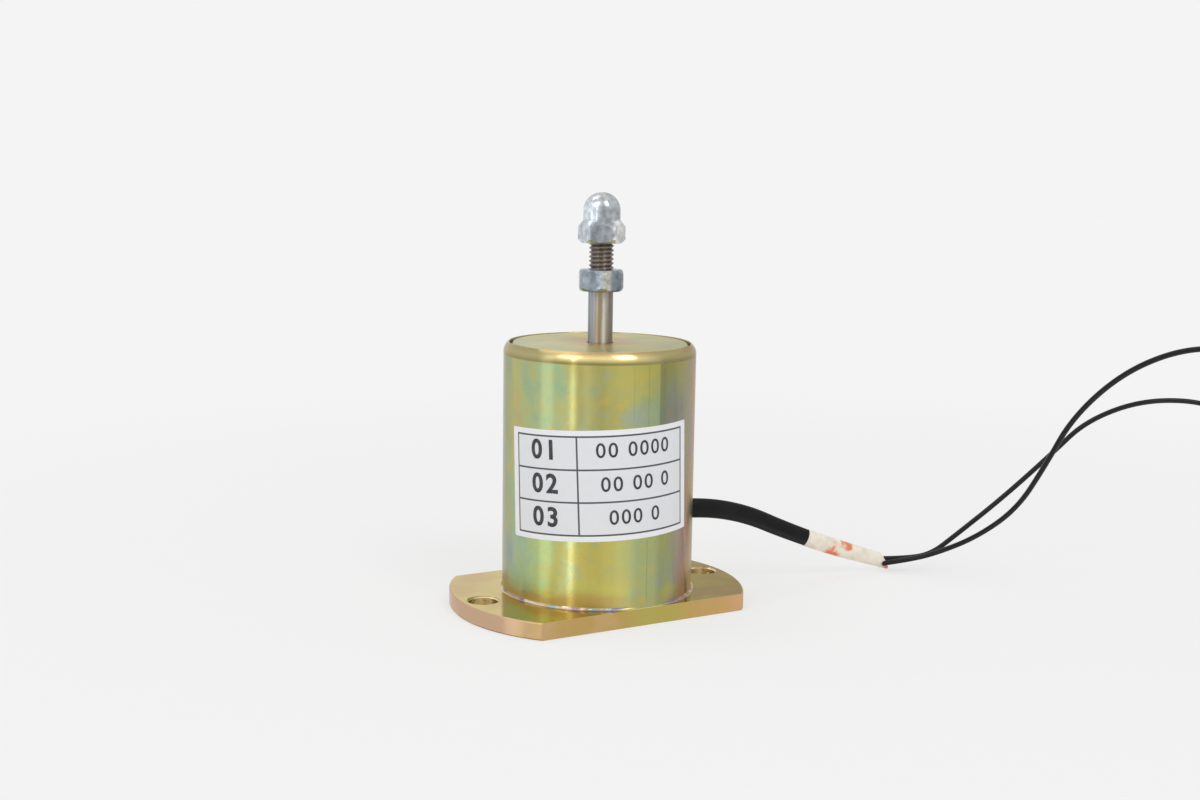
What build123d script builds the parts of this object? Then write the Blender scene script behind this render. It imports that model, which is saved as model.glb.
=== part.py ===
from build123d import *
import math
import os

# Round push-type solenoid: a turned steel case with its flange, a wound bobbin, a fixed core,
# and a plunger that pushes a threaded rod out through the end cover.
# Millimetres. The origin is on the axis at the underside of the flange. +Z is the push direction,
# and the two mounting holes lie along X. The leads leave the case near +X.

# Case: tube, floor and flange in one turned piece
case_dia = 45.0
case_height = 62.4
case_wall = 2.0
floor_thickness = 6.0
rim_wall = 1.4
rim_drop = 2.2
lip_round = 0.25
foot_round = 0.7
flange_dia = 70.0
flange_thickness = 4.0
flange_edge = 0.3
flat_margin = 0.03
hole_inset = 5.0
hole_dia = 6.8
hole_edge = 0.4

# End cover, seated on a shoulder in the case and held by its rim
cover_thickness = 4.3
cover_drop = 0.1
cover_bevel_width = 0.8
cover_bevel_depth = 1.0
cover_clearance = 0.1
rod_hole_clearance = 0.25

# Push rod and its nuts
rod_dia = 5.8
rod_depth_in_plunger = 22.0
thread_pitch = 1.0
thread_depth = 0.55
thread_crest = 0.15
nut_flats = 10.0
nut_height = 5.0
nut_clearance = 0.02
nut_above_cover = 12.0
nut_turn = 4.8
cap_nut_gap = 6.1
cap_hex_height = 5.2
cap_height = 11.6
cap_dome_dia = 8.6
cap_dome_step = 0.05
cap_dome_edge_share = 0.95
cap_bore_depth = 8.0
cap_bore_end_gap = 0.4
cap_nut_turn = 31.3
hex_corner_share = 1.1
hex_bevel_share = 0.95
hex_bevel_slope = 50.0

# Plunger, its stroke and the stops
stroke = 10.0
plunger_dia = 18.1
plunger_body = 20.0
nose_length = 7.0
nose_dia = 12.4
plunger_edge = 0.5
running_clearance = 0.05
washer_dia = 12.0
washer_thickness = 0.8
washer_clearance = 0.1
seat_gap = 0.05
stop_disc_dia = 21.8
stop_disc_thickness = 1.6
stop_disc_clearance = 0.1
pad_thickness = 1.0
pad_clearance = 0.3
ring_inset = 0.6
ring_thickness = 1.0
ring_width = 2.0
ring_groove_depth = 0.5
ring_gap_angle = 40.0
ring_lug_dia = 3.0
ring_lug_hole_dia = 1.2
ring_clearance = 0.05

# Fixed core, bush and guide tube
guide_wall = 0.5
core_rim_land = 0.5
core_spigot_dia = 12.0
core_spigot_length = 2.8
bush_dia = 9.0
bush_length = 10.9
spring_pocket_dia = 10.0

# Return spring
spring_wire_dia = 0.7
spring_mean_dia = 8.2
spring_turns = 8

# Bobbin, winding and packing
bobbin_bore_clearance = 0.05
bobbin_wall = 1.15
bobbin_flange = 1.5
bobbin_flange_clearance = 0.3
tape_thickness = 0.4
insulator_thickness = 0.5
packing_thickness = 1.2

# Leads: hole in the case, bush, flat sleeve, inner sleeve, two wires
lead_height = 20.9
lead_azimuth = -5.9
grommet_dia = 6.8
grommet_collar_dia = 8.8
grommet_collar = 0.8
sleeve_height = 4.6
sleeve_width = 3.0
sleeve_clearance = 0.05
inner_sleeve_start_height = 4.2
inner_sleeve_start_width = 3.0
inner_sleeve_end_height = 3.3
inner_sleeve_end_width = 3.2
wire_dia = 1.3
strand_dia = 0.8
strand_length = 6.0
joint_dia = 1.3
joint_clearance = 0.2
joint_length = 6.0
joint_spread = 7.0

# Label
label_width = 46.5
label_height = 25.2
label_thickness = 0.1
label_centre_height = 32.6
label_azimuth = -118.4

# Route of the flat sleeve, as distance from the axis along the leads' direction, and height
sleeve_route = [
    (21.2, 20.9),
    (28.4, 20.9),
    (40.4, 18.2),
    (51.6, 13.1),
    (61.6, 9.2),
]
inner_sleeve_end = (83.2, 1.95)

# Routes of the two wires, from inside the inner sleeve to where their insulation ends on the floor
lower_wire_route = [
    (80.4, -7.8, 3.0),
    (87.0, -9.6, 2.7),
    (94.0, -12.0, 3.5),
    (100.0, -14.5, 8.5),
    (110.5, -20.0, 18.5),
    (120.0, -27.0, 30.5),
    (126.5, -32.5, 40.0),
    (139.0, -41.0, 46.0),
    (154.0, -51.0, 45.0),
    (162.5, -58.5, 35.0),
    (163.0, -63.5, 20.0),
    (158.5, -67.5, 7.0),
    (151.0, -72.5, 0.7),
    (142.0, -76.0, 0.7),
    (135.5, -83.0, 0.7),
    (137.0, -92.5, 0.7),
    (145.0, -98.0, 0.7),
]
upper_wire_route = [
    (80.2, -9.1, 2.0),
    (85.0, -12.6, 3.1),
    (90.0, -18.0, 5.5),
    (96.0, -26.5, 11.0),
    (99.5, -36.5, 20.0),
    (97.5, -47.0, 33.0),
    (96.0, -56.0, 46.0),
    (98.0, -67.5, 57.5),
    (100.5, -80.5, 64.5),
    (102.5, -93.0, 66.5),
    (106.5, -102.5, 60.5),
    (110.5, -107.0, 48.0),
    (113.0, -106.5, 32.0),
    (116.0, -103.5, 16.0),
    (119.0, -98.0, 4.5),
    (121.5, -91.0, 0.7),
    (123.5, -84.0, 0.7),
]
arc_share = 0.45

# Radii and heights that follow from the sizes above
case_r = case_dia / 2
bore_r = case_r - case_wall
seat_r = case_r - rim_wall
flange_r = flange_dia / 2
flat_width = case_dia + 2 * flat_margin
hole_spacing = flange_dia - 2 * hole_inset
rod_r = rod_dia / 2
plunger_r = plunger_dia / 2
nose_r = nose_dia / 2
guide_inner_r = plunger_r + running_clearance
guide_outer_r = guide_inner_r + guide_wall
stop_bore_r = stop_disc_dia / 2 + stop_disc_clearance
cover_top = case_height - cover_drop
cover_seat = cover_top - cover_thickness
stop_disc_base = ring_inset + ring_thickness
stop_disc_top = stop_disc_base + stop_disc_thickness
plunger_base = stop_disc_top + pad_thickness
plunger_shoulder = plunger_base + plunger_body
nose_top = plunger_shoulder + nose_length
washer_top = nose_top + washer_thickness
core_seat = washer_top + stroke + seat_gap
core_top = cover_seat + core_spigot_length
bush_base = core_top - bush_length
nut_base = cover_top + nut_above_cover
nut_top = nut_base + nut_height
cap_base = nut_top + cap_nut_gap
rod_top = cap_base + cap_bore_depth - cap_bore_end_gap
bobbin_base = floor_thickness + insulator_thickness
packing_base = cover_seat - packing_thickness
bobbin_top = packing_base - insulator_thickness
hub_inner_r = guide_outer_r + bobbin_bore_clearance
hub_outer_r = hub_inner_r + bobbin_wall
winding_base = bobbin_base + bobbin_flange
winding_top = bobbin_top - bobbin_flange
tape_r = bore_r - joint_clearance - joint_dia
winding_r = tape_r - tape_thickness

lead_direction = Vector(math.cos(math.radians(lead_azimuth)), math.sin(math.radians(lead_azimuth)), 0)


def turned(points):
    """Solid of revolution about Z from a closed outline of (radius, height) points."""
    outline = Polyline([(r, 0, z) for r, z in points], close=True)
    return revolve(make_face(outline), Axis.Z)


def ring(outer_r, inner_r, base, top):
    """Plain ring about Z."""
    return turned([(inner_r, base), (outer_r, base), (outer_r, top), (inner_r, top)])


def disc(radius, base, top):
    """Plain disc about Z."""
    return Pos(0, 0, base) * Cylinder(radius, top - base, align=(Align.CENTER, Align.CENTER, Align.MIN))


def lead_point(distance, height):
    """Point at a distance from the axis along the leads' direction."""
    return lead_direction * distance + Vector(0, 0, height)


def radial_plane(distance, height):
    """Plane across the leads' direction, with its X axis upward."""
    return Plane(origin=lead_point(distance, height), x_dir=(0, 0, 1), z_dir=lead_direction)


def case_outline():
    """Right half of the case's section, from the stop bore outward and round."""
    groove_r = stop_bore_r + ring_groove_depth
    foot_r = case_r + foot_round
    foot_top = flange_thickness + foot_round
    rim_start = case_height - rim_drop
    crest_r = seat_r + lip_round
    lip_start = case_height - lip_round
    diagonal = math.sqrt(0.5)
    foot_middle = (foot_r - foot_round * diagonal, 0, foot_top - foot_round * diagonal)
    lip_middle = (crest_r - lip_round * diagonal, 0, lip_start + lip_round * diagonal)
    return [
        Polyline(
            (stop_bore_r, 0, 0),
            (flange_r - flange_edge, 0, 0),
            (flange_r, 0, flange_edge),
            (flange_r, 0, flange_thickness - flange_edge),
            (flange_r - flange_edge, 0, flange_thickness),
            (foot_r, 0, flange_thickness),
        ),
        ThreePointArc((foot_r, 0, flange_thickness), foot_middle, (case_r, 0, foot_top)),
        Line((case_r, 0, foot_top), (case_r, 0, rim_start)),
        TangentArc((case_r, 0, rim_start), (crest_r, 0, case_height), tangent=(0, 0, 1)),
        ThreePointArc((crest_r, 0, case_height), lip_middle, (seat_r, 0, lip_start)),
        Polyline(
            (seat_r, 0, lip_start),
            (seat_r, 0, cover_seat),
            (bore_r, 0, cover_seat),
            (bore_r, 0, floor_thickness),
            (guide_outer_r, 0, floor_thickness),
            (guide_outer_r, 0, stop_disc_top),
            (stop_bore_r, 0, stop_disc_top),
            (stop_bore_r, 0, stop_disc_base),
            (groove_r, 0, stop_disc_base),
            (groove_r, 0, ring_inset),
            (stop_bore_r, 0, ring_inset),
            (stop_bore_r, 0, 0),
        ),
    ]


def mounting_hole(x):
    """Cutter for one flange hole with both edges broken."""
    hole_r = hole_dia / 2
    half = turned([
        (0, -1),
        (hole_r + hole_edge, -1),
        (hole_r + hole_edge, 0),
        (hole_r, hole_edge),
        (hole_r, flange_thickness - hole_edge),
        (hole_r + hole_edge, flange_thickness),
        (hole_r + hole_edge, flange_thickness + foot_round),
        (0, flange_thickness + foot_round),
    ])
    return Pos(x, 0, 0) * half


def make_case():
    """Tube, floor and two-hole flange turned from one bar."""
    case = revolve(make_face(case_outline()), Axis.Z)
    slab_depth = flange_r - flat_width / 2
    slab_height = flange_thickness + foot_round
    slab = Box(flange_dia, slab_depth, slab_height, align=(Align.CENTER, Align.MIN, Align.MIN))
    for turn in (0, 180):
        case -= Rot(0, 0, turn) * Pos(0, flat_width / 2, 0) * slab
    for x in (-hole_spacing / 2, hole_spacing / 2):
        case -= mounting_hole(x)
    case -= radial_plane(bore_r - 1, lead_height) * Cylinder(
        grommet_dia / 2, case_wall + 2, align=(Align.CENTER, Align.CENTER, Align.MIN)
    )
    return case


def make_end_cover():
    """Flush cover with a bevelled edge, the rod's hole, and a socket below for the core's spigot."""
    cover_r = seat_r - cover_clearance
    rod_hole_r = rod_r + rod_hole_clearance
    return turned([
        (core_spigot_dia / 2, cover_seat),
        (cover_r, cover_seat),
        (cover_r, cover_top - cover_bevel_depth),
        (cover_r - cover_bevel_width, cover_top),
        (rod_hole_r, cover_top),
        (rod_hole_r, core_top),
        (core_spigot_dia / 2, core_top),
    ])


def make_pole_core():
    """Fixed core with a conical seat, a pocket for the spring and a bore for the bush."""
    mouth_r = guide_inner_r - core_rim_land
    slope = nose_length / (plunger_r - nose_r)
    mouth = core_seat - (mouth_r - nose_r) * slope
    return turned([
        (mouth_r, mouth),
        (guide_inner_r, mouth),
        (guide_inner_r, cover_seat),
        (core_spigot_dia / 2, cover_seat),
        (core_spigot_dia / 2, core_top),
        (bush_dia / 2, core_top),
        (bush_dia / 2, bush_base),
        (spring_pocket_dia / 2, bush_base),
        (spring_pocket_dia / 2, core_seat),
        (nose_r, core_seat),
    ])


def make_plunger():
    """Steel armature with a conical nose and a blind bore for the rod."""
    rod_base = nose_top - rod_depth_in_plunger
    return turned([
        (0, plunger_base),
        (plunger_r - plunger_edge, plunger_base),
        (plunger_r, plunger_base + plunger_edge),
        (plunger_r, plunger_shoulder),
        (nose_r, nose_top),
        (rod_r, nose_top),
        (rod_r, rod_base),
        (0, rod_base),
    ])


def make_push_rod():
    """Plain rod with ring grooves for its thread, from the nut to the rod's end."""
    root_r = rod_r - thread_depth
    turns = int((rod_top - nut_base) / thread_pitch)
    points = [(0, nose_top - rod_depth_in_plunger), (rod_r, nose_top - rod_depth_in_plunger)]
    for turn in range(turns):
        start = nut_base + turn * thread_pitch
        points += [
            (rod_r, start + thread_crest / 2),
            (root_r, start + thread_pitch / 2),
            (rod_r, start + thread_pitch - thread_crest / 2),
        ]
    points += [(rod_r, rod_top - thread_depth), (root_r, rod_top), (0, rod_top)]
    return turned(points)


def hexagon(base, top, top_r):
    """Hexagonal prism with blunt corners, bevelled at both ends down to a circle."""
    flat_r = nut_flats / 2
    corner_r = flat_r * hex_corner_share
    low_r = flat_r * hex_bevel_share
    slope = math.tan(math.radians(hex_bevel_slope))
    prism = Pos(0, 0, base) * extrude(RegularPolygon(flat_r / math.cos(math.radians(30)), 6), top - base)
    envelope = turned([
        (0, base),
        (low_r, base),
        (corner_r, base + (corner_r - low_r) * slope),
        (corner_r, top - (corner_r - top_r) * slope),
        (top_r, top),
        (0, top),
    ])
    return prism & envelope


def make_hex_nut():
    """Hexagon nut near the lower end of the thread."""
    top_r = nut_flats / 2 * hex_bevel_share
    nut = hexagon(nut_base, nut_top, top_r) - disc(rod_r + nut_clearance, nut_base, nut_top)
    return Rot(0, 0, nut_turn) * nut


def make_cap_nut():
    """Domed cap nut that closes the end of the rod, the dome a little flat on top."""
    dome_r = cap_dome_dia / 2
    hex_top = cap_base + cap_hex_height
    dome = disc(dome_r, hex_top, cap_base + cap_height)
    dome = fillet(dome.edges().sort_by(Axis.Z)[-1], dome_r * cap_dome_edge_share)
    nut = hexagon(cap_base, hex_top, dome_r + cap_dome_step) + dome
    nut -= disc(rod_r + nut_clearance, cap_base, cap_base + cap_bore_depth)
    return Rot(0, 0, cap_nut_turn) * nut


def make_return_spring():
    """Compression spring round the rod, from the washer to the bush."""
    wire_r = spring_wire_dia / 2
    height = bush_base - washer_top - spring_wire_dia
    path = Helix(pitch=height / spring_turns, height=height, radius=spring_mean_dia / 2)
    section = Plane(origin=path @ 0, z_dir=path % 0) * Circle(wire_r)
    return Pos(0, 0, washer_top + wire_r) * sweep(section, path=path, is_frenet=True)


def make_retaining_ring():
    """Internal ring with two drilled lugs beside its gap."""
    outer_r = stop_bore_r + ring_groove_depth - ring_clearance
    inner_r = outer_r - ring_width
    top = stop_disc_base
    base = ring_inset
    lug_r = ring_lug_dia / 2
    lug_centre_r = inner_r + lug_r / 4
    retaining_ring = ring(outer_r, inner_r, base, top)
    gap = Box(2 * outer_r, 2 * outer_r * math.sin(math.radians(ring_gap_angle / 2)), 4 * ring_thickness)
    retaining_ring -= Pos(outer_r, 0, base) * gap
    for side in (-1, 1):
        turn = Rot(0, 0, side * (ring_gap_angle / 2 + math.degrees(lug_r / lug_centre_r)))
        retaining_ring += turn * Pos(lug_centre_r, 0, 0) * disc(lug_r, base, top)
        retaining_ring -= turn * Pos(lug_centre_r, 0, 0) * disc(ring_lug_hole_dia / 2, base, top)
    return retaining_ring


def make_bobbin():
    """Moulded spool that slides on the guide tube."""
    flange_outer_r = bore_r - bobbin_flange_clearance
    return turned([
        (hub_inner_r, bobbin_base),
        (flange_outer_r, bobbin_base),
        (flange_outer_r, winding_base),
        (hub_outer_r, winding_base),
        (hub_outer_r, winding_top),
        (flange_outer_r, winding_top),
        (flange_outer_r, bobbin_top),
        (hub_inner_r, bobbin_top),
    ])


def make_solder_joints():
    """Two sleeved joints on the tape, one above and one below the leads' hole."""
    joints = []
    for side in (-1, 1):
        middle = lead_height + side * joint_spread / 2
        joint = Cylinder(joint_dia / 2, joint_length)
        joints.append(Location(lead_point(tape_r + joint_dia / 2, middle)) * joint)
    return Compound(joints)


def make_lead_grommet():
    """Insulating bush in the case's side hole, its collar curved to the tube."""
    sleeve_hole = Ellipse(sleeve_height / 2 + sleeve_clearance, sleeve_width / 2 + sleeve_clearance)
    collar_r = case_r + grommet_collar
    barrel = radial_plane(bore_r, lead_height) * extrude(Circle(grommet_dia / 2), case_wall + grommet_collar)
    collar = radial_plane(bore_r, lead_height) * extrude(Circle(grommet_collar_dia / 2), collar_r)
    collar &= ring(collar_r, case_r, lead_height - collar_r, lead_height + collar_r)
    barrel &= ring(case_r, bore_r, lead_height - collar_r, lead_height + collar_r)
    return barrel + collar - radial_plane(0, lead_height) * extrude(sleeve_hole, flange_r)


def route_path(name, points):
    """Straight runs joined by tangent arcs, each as large as its two runs allow."""
    vertices = [Vector(*point) for point in points]
    runs = [after - before for before, after in zip(vertices, vertices[1:])]
    radii = []
    for before, after in zip(runs, runs[1:]):
        half_turn = math.radians(before.get_angle(after)) / 2
        radii.append(arc_share * min(before.length, after.length) / math.tan(half_turn))
    print(name, "arc radii:", [round(radius, 1) for radius in radii])
    return FilletPolyline(*vertices, radius=radii)


def tube(path, section, upright):
    """Cord solid along a path, its section set square to the path's start."""
    start = Plane(origin=path @ 0, x_dir=upright, z_dir=path % 0)
    cord = sweep(start * section, path=path)
    print("   volume over section times length:", round(cord.volume / (section.area * path.length), 4))
    return cord


def make_lead_sleeve():
    """Flat black sleeve, drooping from the bush towards the floor."""
    points = [lead_point(distance, height) for distance, height in sleeve_route]
    path = route_path("lead_sleeve", points)
    upright = (path % 0).cross(lead_direction.cross(Vector(0, 0, 1))) * -1
    return tube(path, Ellipse(sleeve_height / 2, sleeve_width / 2), upright)


def make_inner_sleeve(wires):
    """Tapered sleeve between the flat sleeve's end and the wires, which start inside it."""
    start = lead_point(*sleeve_route[-1])
    end = lead_point(*inner_sleeve_end)
    across = lead_direction.cross(Vector(0, 0, 1))
    last_run = start - lead_point(*sleeve_route[-2])
    direction = end - start
    near = Plane(origin=start, x_dir=last_run.cross(across) * -1, z_dir=last_run)
    far = Plane(origin=end, x_dir=direction.cross(across) * -1, z_dir=direction)
    inner_sleeve = loft([
        near * Ellipse(inner_sleeve_start_height / 2, inner_sleeve_start_width / 2),
        far * Ellipse(inner_sleeve_end_height / 2, inner_sleeve_end_width / 2),
    ])
    for wire in wires:
        inner_sleeve -= wire
    return inner_sleeve


def make_wire(name, route):
    """One insulated lead."""
    return tube(route_path(name, route), Circle(wire_dia / 2), (0, 0, 1))


def make_tinned_ends():
    """Bare tinned strands that carry on from the insulation's end."""
    ends = []
    for route in (lower_wire_route, upper_wire_route):
        before = Vector(*route[-2])
        end = Vector(*route[-1])
        plane = Plane(origin=end, z_dir=(end - before).normalized())
        ends.append(plane * extrude(Circle(strand_dia / 2), strand_length))
    return Compound(ends)


def make_label():
    """Paper label on the tube."""
    sweep_angle = math.degrees(label_width / (case_r + label_thickness / 2))
    low = label_centre_height - label_height / 2
    high = label_centre_height + label_height / 2
    outline = Polyline(
        (case_r, 0, low),
        (case_r + label_thickness, 0, low),
        (case_r + label_thickness, 0, high),
        (case_r, 0, high),
        close=True,
    )
    patch = revolve(make_face(outline), Axis.Z, revolution_arc=sweep_angle)
    return Rot(0, 0, label_azimuth - sweep_angle / 2) * patch


lower_wire = make_wire("lead_wire_lower", lower_wire_route)
upper_wire = make_wire("lead_wire_upper", upper_wire_route)
nodes = {
    "case": make_case(),
    "end_cover": make_end_cover(),
    "pole_core": make_pole_core(),
    "core_bush": ring(bush_dia / 2, rod_r + running_clearance, bush_base, core_top),
    "guide_tube": ring(guide_outer_r, guide_inner_r, stop_disc_top, cover_seat),
    "bobbin": make_bobbin(),
    "coil_winding": ring(winding_r, hub_outer_r, winding_base, winding_top),
    "winding_tape": ring(tape_r, winding_r, winding_base, winding_top),
    "lower_insulator": ring(bore_r - bobbin_flange_clearance, hub_inner_r, floor_thickness, bobbin_base),
    "upper_insulator": ring(bore_r - bobbin_flange_clearance, hub_inner_r, bobbin_top, packing_base),
    "packing_ring": ring(bore_r - bobbin_flange_clearance, hub_inner_r, packing_base, cover_seat),
    "damper_pad": disc(guide_inner_r - pad_clearance, stop_disc_top, plunger_base),
    "stop_disc": disc(stop_disc_dia / 2, stop_disc_base, stop_disc_top),
    "retaining_ring": make_retaining_ring(),
    "return_spring": make_return_spring(),
    "solder_joints": make_solder_joints(),
    "lead_grommet": make_lead_grommet(),
    "lead_sleeve": make_lead_sleeve(),
    "inner_sleeve": make_inner_sleeve([lower_wire, upper_wire]),
    "lead_wire_lower": lower_wire,
    "lead_wire_upper": upper_wire,
    "tinned_ends": make_tinned_ends(),
    "label": make_label(),
    "plunger": make_plunger(),
    "residual_washer": ring(washer_dia / 2, rod_r + washer_clearance, nose_top, washer_top),
    "push_rod": make_push_rod(),
    "hex_nut": make_hex_nut(),
    "cap_nut": make_cap_nut(),
}

os.makedirs("parts", exist_ok=True)
for name, solid in nodes.items():
    export_step(solid, os.path.join("parts", name + ".step"))
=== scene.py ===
import bpy
from functools import partial
from math import atan2, ceil, cos, degrees, pi, radians, sin, tan, tau
from mathutils import Matrix, Vector


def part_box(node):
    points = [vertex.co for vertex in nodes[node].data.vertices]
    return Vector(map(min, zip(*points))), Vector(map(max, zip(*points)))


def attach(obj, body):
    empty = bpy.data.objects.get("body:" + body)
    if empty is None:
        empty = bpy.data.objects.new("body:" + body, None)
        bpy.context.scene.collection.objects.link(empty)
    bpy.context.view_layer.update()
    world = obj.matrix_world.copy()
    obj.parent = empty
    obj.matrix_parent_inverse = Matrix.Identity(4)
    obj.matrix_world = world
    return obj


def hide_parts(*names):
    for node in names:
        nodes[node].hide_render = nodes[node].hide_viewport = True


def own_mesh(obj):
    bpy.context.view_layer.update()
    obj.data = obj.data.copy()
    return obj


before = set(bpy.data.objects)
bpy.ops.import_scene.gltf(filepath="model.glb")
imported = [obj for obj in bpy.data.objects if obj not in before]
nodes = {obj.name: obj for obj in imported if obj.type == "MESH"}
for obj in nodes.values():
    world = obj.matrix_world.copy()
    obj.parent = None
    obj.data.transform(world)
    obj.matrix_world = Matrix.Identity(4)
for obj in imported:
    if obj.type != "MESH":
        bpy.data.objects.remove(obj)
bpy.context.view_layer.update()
print("frame loaded,", len(nodes), "nodes")

# Camera first: place and turns fitted to the photo, which is 1200 x 800
camera = {
    "place": (-0.18748, -0.32212, 0.10503),
    "turn": -30.23,  # about Z, from looking along +Y
    "tilt": 81.394,  # 90 is level, less looks down
    "roll": 0.871,
    "lens": 48.18,
    "sensor": 36.0,
    "clipStart": 0.02,
}
frontAzimuth = degrees(atan2(camera["place"][1], camera["place"][0]))  # axis to camera
cameraSide = -120.2  # side of the tube that faces the camera, from +X; the painted highlights, shade and reflections by angle are placed from it


# Small tools for the modelling
def addPiece(name, operator, **settings):  # a new object from one of the add operators
    bpy.ops.object.select_all(action="DESELECT")
    operator(**settings)
    bpy.context.object.name = name
    return bpy.context.object


def pickOnly(piece):  # the one object that the next operator works on
    bpy.ops.object.select_all(action="DESELECT")
    piece.select_set(True)
    bpy.context.view_layer.objects.active = piece


def editAll(piece):  # edit mode with all of it selected
    pickOnly(piece)
    bpy.ops.object.mode_set(mode="EDIT")
    bpy.ops.mesh.select_all(action="SELECT")


def leaveEdit():
    bpy.ops.object.mode_set(mode="OBJECT")


def smoothShade(piece, angle):
    pickOnly(piece)
    bpy.ops.object.shade_smooth_by_angle(angle=radians(angle))


def makeMesh(piece):
    pickOnly(piece)
    bpy.ops.object.convert(target="MESH")


def joinAll(pieces):  # into the first of them
    pickOnly(pieces[0])
    for piece in pieces:
        piece.select_set(True)
    bpy.ops.object.join()


def applyModifier(piece, kind, **settings):
    pickOnly(piece)
    modifier = piece.modifiers.new(kind.title(), kind)
    for name, value in settings.items():
        setattr(modifier, name, value)
    bpy.ops.object.modifier_apply(modifier=modifier.name)


mergeDistance = 0.000001


def tidyMesh(piece):  # merges doubles, turns the faces outward
    editAll(piece)
    bpy.ops.mesh.remove_doubles(threshold=mergeDistance)
    bpy.ops.mesh.normals_make_consistent(inside=False)
    leaveEdit()


def drawProfile(name, points):  # a bare chain of edges in the XZ plane, extruded point by point
    piece = addPiece(name, bpy.ops.mesh.primitive_plane_add, size=0.001)
    editAll(piece)
    bpy.ops.mesh.merge(type="CENTER")
    corners = [Vector((radius, 0, height)) for radius, height in points]
    bpy.ops.transform.translate(value=corners[0])
    for start, end in zip(corners, corners[1:]):
        bpy.ops.mesh.extrude_region_move(TRANSFORM_OT_translate={"value": end - start})
    leaveEdit()
    return piece


def spinSolid(name, points, steps=96):  # a closed solid turned about the rod's axis
    piece = drawProfile(name, points)
    editAll(piece)
    bpy.ops.mesh.spin(steps=steps, angle=tau, center=(0, 0, 0), axis=(0, 0, 1))
    leaveEdit()
    tidyMesh(piece)
    return piece


def combine(piece, tool, operation):  # a boolean with a helper solid that is then deleted
    applyModifier(piece, "BOOLEAN", operation=operation, solver="EXACT", object=tool)
    bpy.data.objects.remove(tool)


def smoothEdges(piece, width, segments=3, bevelFrom=28, smoothTo=35):
    applyModifier(piece, "BEVEL", width=width, segments=segments, limit_method="ANGLE",
                  angle_limit=radians(bevelFrom), miter_outer="MITER_ARC", use_clamp_overlap=True)
    smoothShade(piece, smoothTo)


def settle(piece):  # leaves the object at the origin, unturned and unscaled
    pickOnly(piece)
    bpy.ops.object.transform_apply(location=True, rotation=True, scale=True)


def dress(piece, finish):
    if not piece.material_slots:
        piece.data.materials.append(finish)
    for slot in piece.material_slots:
        slot.material = finish


view = addPiece("viewCamera", bpy.ops.object.camera_add)
view.data.lens = camera["lens"]
view.data.sensor_width = camera["sensor"]
view.data.clip_start = camera["clipStart"]
view.matrix_world = (
    Matrix.Translation(camera["place"])
    @ Matrix.Rotation(radians(camera["turn"]), 4, "Z")
    @ Matrix.Rotation(radians(camera["tilt"]), 4, "X")
    @ Matrix.Rotation(radians(camera["roll"]), 4, "Z")
)
bpy.context.scene.camera = view
bpy.context.scene.view_settings.view_transform = "Standard"
print("camera placed")


# Small tools for the finishes
def hexColour(code):  # sRGB hex to linear
    channels = [int(code[start:start + 2], 16) / 255 for start in (0, 2, 4)]
    return [c / 12.92 if c <= 0.04045 else ((c + 0.055) / 1.055) ** 2.4 for c in channels] + [1]


# The one setting that a second word in a node's kind stands for
nodeModes = {"Math": "operation", "VectorMath": "operation", "Mix": "data_type",
             "MapRange": "interpolation_type", "TexNoise": "noise_dimensions", "TexVoronoi": "feature"}


def feed(node, inputs):  # nodes and sockets are linked; ranges, hex colours and numbers are set
    for socket, source in inputs.items():
        if isinstance(source, bpy.types.Node):
            source = next(output for output in source.outputs if output.enabled)
        if socket in ("From", "To"):
            feed(node, {socket + " Min": source[0], socket + " Max": source[1]})
        elif isinstance(source, bpy.types.NodeSocket):
            node.id_data.links.new(source, node.inputs[socket])
        else:
            node.inputs[socket].default_value = hexColour(source) if isinstance(source, str) else source


def addNode(tree, kind, inputs=None, settings=None, stops=None):
    kind, *mode = kind.split()
    node = tree.nodes.new("ShaderNode" + kind)
    if mode:
        setattr(node, nodeModes[kind], mode[0])
    for name, value in (settings or {}).items():
        setattr(node, name, value)
    feed(node, inputs or {})
    if stops:
        ramp = node.color_ramp
        while len(ramp.elements) > 1:
            ramp.elements.remove(ramp.elements[-1])
        ramp.elements[0].position = stops[0][0]
        ramp.elements[0].color = hexColour(stops[0][1])
        for place, colour in stops[1:]:
            ramp.elements.new(place).color = hexColour(colour)
    return node


def newFinish(name, constants):
    material = bpy.data.materials.new(name)
    material.use_nodes = True
    shader = material.node_tree.nodes["Principled BSDF"]
    feed(shader, constants)
    add = partial(addNode, material.node_tree)
    return material, shader, add, add("TexCoord").outputs["Object"]


def emptyTree(owner):  # for the floor, the cards and the world
    owner.use_nodes = True
    owner.node_tree.nodes.clear()
    return partial(addNode, owner.node_tree)


def sideAngle(add, source):  # angle about the axis, from the side that faces the camera
    facing = add("Mapping", {"Rotation": (0, 0, radians(-cameraSide)), "Vector": source})
    split = add("SeparateXYZ", {0: facing})
    return add("Math ARCTAN2", {0: split.outputs["Y"], 1: split.outputs["X"]})


def sideStops(colours):  # from degrees to shares of the full turn
    return [((angle + 180) / 360, colour) for angle, colour in colours]


def withStray(add, source, noise, reach):  # a value that a noise moves by up to half the reach
    stray = add("Math MULTIPLY_ADD", {0: noise, 1: reach, 2: -reach / 2})
    return add("Math ADD", {0: source, 1: stray})


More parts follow.
